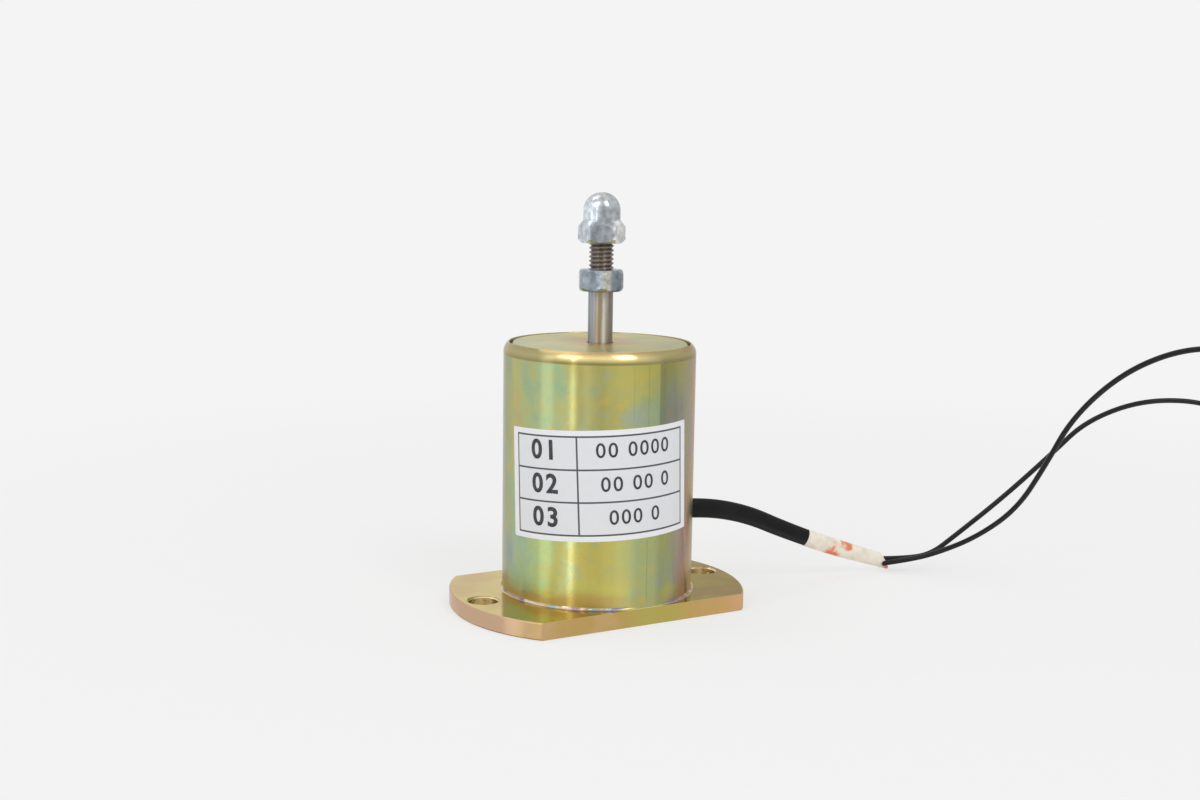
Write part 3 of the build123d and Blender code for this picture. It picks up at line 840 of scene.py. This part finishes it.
    # fine grain of the film
    grain = add("TexNoise", {"Scale": 1 / bath["grainPatch"], "Detail": 1.0, "Vector": place})
    grainValue = add("MapRange", {"Value": grain, "To": bath["grainShade"]})
    roughness = bath["roughness"]
    tubeRoughness = add("MapRange", {"Value": wander, "To": roughness["tube"]})
    wallRoughness = add("Mix", {0: onRim, 2: tubeRoughness, 3: roughness["rim"]})
    plateRoughness = add("Mix", {0: onTop, 2: roughness["edge"], 3: roughness["top"]})
    feed(shader, {
        "Base Color": add("HueSaturation", {"Value": grainValue, "Color": body}),
        "Roughness": add("Mix", {0: offPlate, 2: plateRoughness, 3: wallRoughness}),
        "Normal": add("Bump", {"Strength": 0.05, "Distance": bath["grainDepth"], "Height": grain}),
        "Tangent": add("Tangent", settings=roundTheAxis),
    })
    return finish


# Same bath on the end cover, thinner and greener, with a worn rose ring where the rod passes
cover = {
    "ground": [(0.35, "B3B788"), (0.62, "CBC08A")],
    "rose": "C8A07A",
    "roseReach": (0.0120, 0.0040),  # radius where it is gone, and where it is full
    "roseStrength": 0.85,
    "stray": 0.012,  # how far the ring's edge strays, in patches of this size
    "patch": 0.0125,
    "roughness": (0.34, 0.44),
    "turned": 0.0004,  # spacing of the tool's rings
    "turnedDepth": 0.00002,
}


def passivatedCover():
    finish, shader, add, place = newFinish("palePassivatedSteel", {
        "Metallic": 1.0, "Anisotropic": 0.4, "Anisotropic Rotation": 0.25})
    patches = add("TexNoise", {"Scale": 1 / cover["patch"], "Detail": 3.0, "Vector": place})
    x, y, z = add("SeparateXYZ", {0: place}).outputs
    distance = add("VectorMath LENGTH", {0: add("CombineXYZ", {0: x, 1: y})})
    strayed = withStray(add, distance, patches, cover["stray"])
    near = add("MapRange SMOOTHSTEP", {"Value": strayed, "From": cover["roseReach"],
                                       "To Max": cover["roseStrength"]})
    ground = add("ValToRGB", {0: patches}, stops=cover["ground"])
    # the wave node draws 20 rings to a unit at scale 1
    rings = add("TexWave", {"Scale": 1 / (20 * cover["turned"]), "Distortion": 0.4, "Vector": place},
                {"wave_type": "RINGS", "rings_direction": "Z"})
    feed(shader, {
        "Base Color": add("Mix RGBA", {0: near, 6: ground, 7: cover["rose"]}),
        "Roughness": add("MapRange", {"Value": patches, "To": cover["roughness"]}),
        "Normal": add("Bump", {"Strength": 0.1, "Distance": cover["turnedDepth"],
                               "Height": rings.outputs["Fac"]}),
        "Tangent": add("Tangent", settings=roundTheAxis),
    })
    return finish


# Bright zinc on cold-forged nuts: bluish and cloudy, flats and dome lighter or darker by angle as painted
# reflections and shade, small dents from tumbling
zinc = {  # painted reflections and shade by angle: lighter and darker flats, the dome bright and bluish at the left
    "nutHex": [
        (-180, "B9C0C6"), (-120, "C3C9CE"), (-75, "8F98A1"), (-57, "9AA3AE"), (-40, "919AA4"),
        (-26, "838B92"), (-14, "939CA6"), (-2, "B1BECE"), (4, "BCC0C0"), (8, "BDBBB1"),
        (24, "BBB9B0"), (31, "8A9299"), (52, "78818A"), (70, "A5ADB4"), (120, "C0C5C9"),
        (180, "B9C0C6"),
    ],
    "capHex": [
        (-180, "C6CCD2"), (-110, "B4BCC4"), (-80, "C4CCD4"), (-60, "C4CBD2"), (-33, "CBD1D7"),
        (-28, "9AA1A8"), (-15, "939AA1"), (0, "A2A8AE"), (15, "9CA3A9"), (28, "B0B5BA"),
        (34, "DEDFE0"), (60, "E2E3E3"), (80, "CCD1D5"), (130, "BFC6CC"), (180, "C6CCD2"),
    ],
    "dome": [
        (-180, "B9C0C6"), (-100, "B4BCC2"), (-60, "D6E0E8"), (-25, "E2EDF6"), (5, "9FA4A8"),
        (40, "B6BBC0"), (75, "B4BAC0"), (130, "B0B7BD"), (180, "B9C0C6"),
    ],
    "crown": "BCBFC0",  # top of the dome
    "crownFrom": (0.0030, 0.0005),  # below the top, where it starts to show and where it is full
    "toneStray": 0.2,  # radians
    "toneShift": 0.1,
    "hexEnd": (-0.0002, 0.0004),  # round the dome's base
    # sizes of the patches: mottling, slow waves, dents
    "cloudPatch": 0.0013158,
    "broadPatch": 0.005263,
    "dentSpacing": 0.0011111,
    "mottling": ((0.35, 0.65), (0.77, 1.19)),  # where in the noise, and brightness there
    "hexRoughness": ((0.3, 0.7), (0.28, 0.18)),
    "domeRoughness": 0.20,
    "dentEdge": (0.0, 0.35),
    "dents": 0.4,  # heights as shares of the relief
    "waviness": 2.0,
    "relief": 0.0001,
}


def brightZinc(name, paintedHexSides, domeBase):
    finish, shader, add, place = newFinish(name, {"Metallic": 1.0})
    cloud = add("TexNoise", {
        "Scale": 1 / zinc["cloudPatch"], "Detail": 3.0, "Roughness": 0.5, "Vector": place})
    broad = add("TexNoise 4D", {"W": 0.6, "Scale": 1 / zinc["broadPatch"], "Detail": 1.0, "Vector": place})
    angle = add("Math MULTIPLY_ADD", {0: cloud, 1: zinc["toneStray"], 2: sideAngle(add, place)})
    turn = add("MapRange", {"Value": angle, "From": (zinc["toneShift"] - pi, zinc["toneShift"] + pi)})
    onHex = add("ValToRGB", {0: turn}, stops=sideStops(paintedHexSides))
    onDome = add("ValToRGB", {0: turn}, stops=sideStops(zinc["dome"]))
    height = add("SeparateXYZ", {0: place}).outputs["Z"]
    start, full = zinc["crownFrom"]
    crowned = add("MapRange SMOOTHSTEP", {"Value": height, "From": (capHigh.z - start, capHigh.z - full)})
    dome = add("Mix RGBA", {0: crowned, 6: onDome, 7: zinc["crown"]})
    low, high = zinc["hexEnd"]
    aboveHex = add("MapRange", {"Value": height, "From": (domeBase + low, domeBase + high)})
    tones = add("Mix RGBA", {0: aboveHex, 6: onHex, 7: dome})
    found, given = zinc["mottling"]
    mottling = add("MapRange", {"Value": cloud, "From": found, "To": given})
    found, given = zinc["hexRoughness"]
    hexRoughness = add("MapRange", {"Value": cloud, "From": found, "To": given})
    dents = add("TexVoronoi SMOOTH_F1", {
        "Scale": 1 / zinc["dentSpacing"], "Randomness": 1.0, "Vector": place})
    dentDepth = add("MapRange", {"Value": dents, "From": zinc["dentEdge"]})
    relief = add("Math MULTIPLY_ADD", {0: dentDepth, 1: zinc["dents"], 2: cloud})
    uneven = add("Math MULTIPLY_ADD", {0: broad, 1: zinc["waviness"], 2: relief})
    feed(shader, {
        "Base Color": add("HueSaturation", {"Value": mottling, "Color": tones}),
        "Roughness": add("Mix", {0: aboveHex, 2: hexRoughness, 3: zinc["domeRoughness"]}),
        "Normal": add("Bump", {"Strength": 0.25, "Distance": zinc["relief"], "Height": uneven}),
    })
    return finish


# Drawn steel bar, oiled: grey with faint lengthwise lines and painted reflections by angle, browner in the
# thread's grooves
def drawnBar():
    finish, shader, add, place = newFinish("drawnSteelBar", {
        "Metallic": 1.0, "Anisotropic": 1.0, "Anisotropic Rotation": 0.25})
    stretched = add("Mapping", {"Scale": (1, 1, rod["stretch"]), "Vector": place})
    lines = add("TexNoise", {"Scale": 1 / rod["drawnLine"], "Detail": 3.0, "Vector": stretched})
    angle = withStray(add, sideAngle(add, place), lines, rod["stripeStray"])
    turn = add("MapRange", {"Value": angle, "From": (-pi, pi)})
    bar = add("ValToRGB", {0: turn}, stops=sideStops(rod["paintedReflectionStripes"]))
    x, y, z = add("SeparateXYZ", {0: place}).outputs
    radius = add("VectorMath LENGTH", {0: add("CombineXYZ", {0: x, 1: y})})
    oil, oilFrom, strength = rod["oil"]
    groove = add("MapRange", {
        "Value": radius, "From": (rod["radius"] - oilFrom, rod["rootRadius"]), "To Max": strength})
    oiled = add("Mix RGBA", {0: groove, 6: bar, 7: oil})
    onThread = add("Math GREATER_THAN", {0: z, 1: threadBase})
    threaded = add("Mix RGBA", {0: onThread, 6: oiled, 7: rod["threadSteel"]})
    feed(shader, {
        "Base Color": add("Mix RGBA", {0: 1.0, 6: oiled, 7: threaded}, {"blend_type": "DARKEN"}),
        "Roughness": add("MapRange", {"Value": lines, "To": rod["roughness"]}),
        "Normal": add("Bump", {"Strength": 0.12, "Distance": rod["relief"], "Height": lines}),
        "Tangent": add("Tangent", settings=roundTheAxis),
    })
    return finish


# Coated paper, laser printed: white margin, a slightly greyer table with thin dark rules
table = {
    "margin": "EFEFF2",
    "ground": "E4E5E8",
    "rule": "4C5155",
    "frame": (0.0213, 0.0112),  # half width and half height of the printed frame
    "ruleWidth": 0.0002,  # half of a rule's width
    "divider": -0.0052,  # from the label's middle
    "rows": (0.0037, -0.0037),
    "fibre": 0.0011111,  # length of a fibre's patch
    "fibreShade": (0.98, 1.02),
    "fibreDepth": 0.00001,
}


def printedPaper():
    finish, shader, add, place = newFinish("coatedPaper", {"Roughness": 0.42, "Specular IOR Level": 0.4})
    u, v, _ = add("SeparateXYZ", {0: add("UVMap", settings={"uv_map": "flatMap"})}).outputs
    across = add("Math MULTIPLY_ADD", {0: u, 1: label["width"], 2: -label["width"] / 2})
    upward = add("Math MULTIPLY_ADD", {0: v, 1: label["height"], 2: -label["height"] / 2})
    halfWidth, halfHeight = table["frame"]
    ruleWidth = table["ruleWidth"]
    fromSide = add("Math ABSOLUTE", {0: across})
    fromMiddle = add("Math ABSOLUTE", {0: upward})
    inWidth = add("Math LESS_THAN", {0: fromSide, 1: halfWidth + ruleWidth})
    inHeight = add("Math LESS_THAN", {0: fromMiddle, 1: halfHeight + ruleWidth})
    inside = add("Math MULTIPLY", {0: inWidth, 1: inHeight})
    rules = 0
    for source, middle in (
        (fromSide, halfWidth), (fromMiddle, halfHeight), (across, table["divider"]),
        (upward, table["rows"][0]), (upward, table["rows"][1]),
    ):
        line = add("Math COMPARE", {0: source, 1: middle, 2: ruleWidth})
        rules = add("Math MAXIMUM", {0: rules, 1: line})
    ground = add("Mix RGBA", {0: inside, 6: table["margin"], 7: table["ground"]})
    inked = add("Mix RGBA", {0: add("Math MULTIPLY", {0: rules, 1: inside}), 6: ground, 7: table["rule"]})
    fibre = add("TexNoise", {"Scale": 1 / table["fibre"], "Detail": 3.0, "Vector": place})
    fibreValue = add("MapRange", {"Value": fibre, "To": table["fibreShade"]})
    feed(shader, {
        "Base Color": add("HueSaturation", {"Value": fibreValue, "Color": inked}),
        "Normal": add("Bump", {"Strength": 0.1, "Distance": table["fibreDepth"], "Height": fibre}),
    })
    return finish


# Plainer finishes: two tones in cloudy patches, with a fine grain in roughness and relief
def cloudyFinish(name, tones, patch, roughness, relief, constants, stretch=(1, 1, 1)):
    finish, shader, add, place = newFinish(name, constants)
    stretched = add("Mapping", {"Scale": stretch, "Vector": place})
    cloud = add("TexNoise", {"Scale": 1 / patch, "Detail": 4.0, "Vector": stretched})
    feed(shader, {
        "Base Color": add("ValToRGB", {0: cloud}, stops=list(zip((0.35, 0.65), tones))),
        "Roughness": add("MapRange", {"Value": cloud, "From": (0.3, 0.7), "To": roughness}),
        "Normal": add("Bump", {"Strength": 0.3, "Distance": relief, "Height": cloud}),
    })
    return finish


# Varnished glass-fibre sleeving, ivory, with orange flux stains
stain = {
    "ground": [(0.35, "E8E0D0"), (0.6, "F8EEDE")],
    "tones": [(0.3, "F8B08E"), (0.9, "E9804F")],
    # distance along the leads, height, reach
    "spots": [(0.0655, 0.0062, 0.0034), (0.0700, 0.0080, 0.0030), (0.0832, 0.0008, 0.0024)],
    "core": 0.3,  # share of the reach where a spot is full
    "stray": 0.006,
    "patch": 0.002,
    "relief": 0.00005,
}


def stainedSleeving():
    finish, shader, add, place = newFinish("varnishedGlassSleeving", {
        "Roughness": 0.38, "Subsurface Weight": 0.08, "Subsurface Scale": 0.0005})
    cloud = add("TexNoise", {"Scale": 1 / stain["patch"], "Detail": 3.0, "Vector": place})
    ground = add("ValToRGB", {0: cloud}, stops=stain["ground"])
    covered = 0
    for distance, height, reach in stain["spots"]:
        away = add("VectorMath DISTANCE", {0: place, 1: leadPoint(distance, height)})
        strayed = withStray(add, away, cloud, stain["stray"])
        share = add("MapRange SMOOTHSTEP", {"Value": strayed, "From": (reach, reach * stain["core"])})
        covered = add("Math MAXIMUM", {0: covered, 1: share})
    stained = add("ValToRGB", {0: covered}, stops=stain["tones"])
    feed(shader, {
        "Base Color": add("Mix RGBA", {0: covered, 6: ground, 7: stained}),
        "Normal": add("Bump", {"Strength": 0.2, "Distance": stain["relief"], "Height": cloud}),
    })
    return finish


dress(nodes["case"], passivatedCase())
dress(nodes["end_cover"], passivatedCover())
dress(hexNut, brightZinc("brightZincNut", zinc["nutHex"], nutHigh.z + nut["clear"]))
dress(capNut, brightZinc("brightZincCapNut", zinc["capHex"], capHexTop))
dress(pushRod, drawnBar())
dress(labelPaper, printedPaper())
dress(innerSleeve, stainedSleeving())

# Pieces, then name, two tones, size of a patch, roughness from and to, relief, fixed values, stretch
bareMetal = {"Metallic": 1.0}
plainFinishes = [
    ([labelNumbers], ("printedToner", ("2A2B30", "3A3B40"), 0.0008, (0.4, 0.5), 0.000005, {})),
    # polyolefin shrunk on: near black, soft gloss
    ([leadSleeve],
     ("shrunkPolyolefin", ("0C0C0D", "161617"), 0.004, (0.38, 0.5), 0.00008, {"Specular IOR Level": 0.17})),
    # extruded PVC insulation: black and glossier than the sleeve
    ([lowerWire, upperWire],
     ("blackPvcInsulation", ("0A0B0D", "131518"), 0.003, (0.28, 0.36), 0.00002,
      {"Specular IOR Level": 0.25})),
    # tinned copper strands: soft silver
    ([lowerEnd, upperEnd], ("tinnedCopper", ("A9A8A2", "CFCEC8"), 0.0006, (0.25, 0.4), 0.00002, bareMetal)),
    (["pole_core"],
     ("turnedFreeCuttingSteel", ("8F8F8C", "A9A9A6"), 0.002, (0.28, 0.4), 0.00001, bareMetal, (1, 1, 8))),
    (["core_bush"], ("sinteredBronze", ("9A7445", "B58B55"), 0.0006, (0.42, 0.55), 0.00004, bareMetal)),
    (["guide_tube"],
     ("drawnBrass", ("C0A35C", "D2B870"), 0.002, (0.25, 0.35), 0.00001, bareMetal, (1, 1, 0.1))),
    (["bobbin"], ("mouldedNylon", ("DAD4C4", "E6E1D3"), 0.006, (0.4, 0.5), 0.00003, {})),
    (["coil_winding"],
     ("enamelledCopper", ("7E3B1E", "B0643A"), 0.0006, (0.25, 0.35), 0.00012, bareMetal, (0.15, 0.15, 4))),
    (["winding_tape"], ("polyesterTape", ("C9B23E", "DCC65A"), 0.005, (0.25, 0.35), 0.00003, {})),
    (["lower_insulator", "upper_insulator"],
     ("vulcanisedFibre", ("69402E", "7E5240"), 0.001, (0.6, 0.7), 0.00003, {})),
    (["packing_ring", "damper_pad"],
     ("mouldedRubber", ("1B1B1B", "262626"), 0.001, (0.65, 0.8), 0.00004, {})),
    (["stop_disc"], ("zincPlatedPressing", ("A4A9AA", "BCC1C2"), 0.003, (0.28, 0.4), 0.00003, bareMetal)),
    (["retaining_ring"],
     ("phosphatedSpringSteel", ("2C2B2A", "3B3938"), 0.0008, (0.45, 0.6), 0.00003, bareMetal)),
    (["solder_joints"], ("shrunkJointSleeving", ("CFCFC6", "DEDED6"), 0.001, (0.4, 0.5), 0.00003, {})),
    (["lead_grommet"], ("mouldedBlackNylon", ("17171A", "222226"), 0.0008, (0.42, 0.52), 0.00003, {})),
    (["plunger"], ("groundSteel", ("A2A29E", "B6B6B2"), 0.001, (0.2, 0.3), 0.00001, bareMetal, (1, 1, 6))),
    (["residual_washer"], ("stampedBrass", ("C4A75F", "D6BC78"), 0.002, (0.28, 0.4), 0.00002, bareMetal)),
]
for pieces, settings in plainFinishes:
    finish = cloudyFinish(*settings)
    for piece in pieces:
        dress(nodes[piece] if isinstance(piece, str) else piece, finish)
print("finishes done")


# Return spring: the node's own wire, copied into an object of its own
returnSpring = bpy.data.objects.new("returnSpring", nodes["return_spring"].data.copy())
bpy.context.collection.objects.link(returnSpring)
dress(returnSpring, cloudyFinish("drawnSpringWire", ("9B9DA0", "B4B6B8"), 0.0008, (0.22, 0.32), 0.00001,
                                 bareMetal))
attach(returnSpring, "stator")
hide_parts("return_spring")
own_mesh(returnSpring)


# Floor, backdrop and lamps
studio = {
    "backdrop": "F4F4F4",
    "ambient": 0.70,  # what the room gives matt surfaces
    "floorRadius": 4.0,
    "floorHeight": -0.00005,
    "shadowShare": 0.35,  # how much of the floor's look is its own shading, near the object
    "shadowMiddle": (0.03, -0.02, 0),
    "shadowReach": (0.45, 0.10),  # where that share is gone, and where it is full
    "aim": (0, 0, 0.03),  # what the lamps point at
}


def asBackdrop(add):  # where a ray shows the plain backdrop, and the glossy rays alone
    rays = add("LightPath").outputs
    seen = add("Math MAXIMUM", {0: rays["Is Camera Ray"], 1: rays["Is Glossy Ray"]})
    return add("Math MAXIMUM", {0: seen, 1: rays["Is Transmission Ray"]}), rays["Is Glossy Ray"]


floor = addPiece("studioFloor", bpy.ops.mesh.primitive_circle_add, vertices=128,
                 radius=studio["floorRadius"], fill_type="NGON", location=(0, 0, studio["floorHeight"]))
settle(floor)
floorFinish = bpy.data.materials.new("paleStudioFloor")
add = emptyTree(floorFinish)
seen, glossy = asBackdrop(add)
away = add("VectorMath DISTANCE", {0: add("TexCoord").outputs["Object"], 1: studio["shadowMiddle"]})
fade = add("MapRange SMOOTHSTEP", {
    "Value": away, "From": studio["shadowReach"], "To Max": studio["shadowShare"]})
matt = add("BsdfDiffuse", {"Color": studio["backdrop"]})
glow = add("Emission", {"Color": studio["backdrop"], "Strength": 1.0})
sheen = add("BsdfAnisotropic", {"Color": (0.97, 0.97, 0.97, 1), "Roughness": 0.12})
bright = add("MixShader", {0: glossy, 1: add("MixShader", {0: fade, 1: glow, 2: matt}), 2: sheen})
add("OutputMaterial", {0: add("MixShader", {0: seen, 1: matt, 2: bright})})
dress(floor, floorFinish)

world = bpy.data.worlds.new("paleRoom")
bpy.context.scene.world = world
add = emptyTree(world)
room = add("Background", {"Color": "FFFFFF", "Strength": studio["ambient"]})
backdrop = add("Background", {"Color": studio["backdrop"], "Strength": 1.0})
add("OutputWorld", {0: add("MixShader", {0: asBackdrop(add)[0], 1: room, 2: backdrop})})

# Lamps and grey cards by their side from the camera's direction, left negative, and their rise, in degrees
lamps = {
    "leftStrip": {"side": -31, "rise": 16, "away": 1.3, "width": 0.11, "tall": 0.45, "radiance": 1.7},
    "leftTop": {"side": -42, "rise": 42, "away": 1.2, "width": 0.5, "tall": 0.5, "radiance": 1.6},
    "leftBox": {"side": -64, "rise": 16, "away": 1.3, "width": 0.36, "tall": 1.1, "radiance": 0.37},
    "rightBox": {"side": 37, "rise": 48, "away": 1.2, "width": 0.40, "tall": 0.5, "radiance": 3.6},
    "overhead": {"side": -120, "rise": 65, "away": 1.2, "width": 0.6, "tall": 0.6, "radiance": 0.95},
}
for name, lamp in lamps.items():
    direction, rise = radians(frontAzimuth + lamp["side"]), radians(lamp["rise"])
    place = Vector((cos(direction) * cos(rise), sin(direction) * cos(rise), sin(rise))) * lamp["away"]
    light = addPiece(name, bpy.ops.object.light_add, type="AREA", location=place)
    light.data.shape = "RECTANGLE"
    light.data.size = lamp["width"]
    light.data.size_y = lamp["tall"]
    light.data.energy = lamp["radiance"] * pi * lamp["width"] * lamp["tall"]
    light.rotation_euler = (Vector(studio["aim"]) - place).to_track_quat("-Z", "Y").to_euler()

cards = {  # seen only in reflections
    "rightCard": {"sides": (76, 165), "away": 1.5, "base": 0, "tall": 0.8, "grey": "DEDEDC"},
    "backCard": {"sides": (165, 179), "away": 1.5, "base": 0.30, "tall": 0.5, "grey": "B4B2A8"},
    "cameraCard": {"sides": (-12, 7), "away": 1.5, "base": 0, "tall": 0.8, "grey": "EBE9E4"},
    "frontCard": {"sides": (-50, 48), "away": 1.6, "base": 0.85, "tall": 1.6, "grey": "FFFFFF",
                  "strength": 1.15},
}
cardStep = 6  # degrees
for name, card in cards.items():  # upright strips bent round the object
    start, end = card["sides"]
    piece = drawProfile(name, [(card["away"], card["base"]), (card["away"], card["base"] + card["tall"])])
    editAll(piece)
    bpy.ops.transform.rotate(value=-radians(frontAzimuth + start), orient_axis="Z",
                             center_override=(0, 0, 0))
    bpy.ops.mesh.spin(steps=max(4, int((end - start) / cardStep)), angle=-radians(end - start),
                      center=(0, 0, 0), axis=(0, 0, 1))
    leaveEdit()
    cardFinish = bpy.data.materials.new(name)
    add = emptyTree(cardFinish)
    glow = add("Emission", {"Color": card["grey"], "Strength": card.get("strength", 1.0)})
    add("OutputMaterial", {0: glow})
    dress(piece, cardFinish)
    for sight in ("camera", "diffuse", "shadow", "transmission"):
        setattr(piece, "visible_" + sight, False)
print("studio lit")
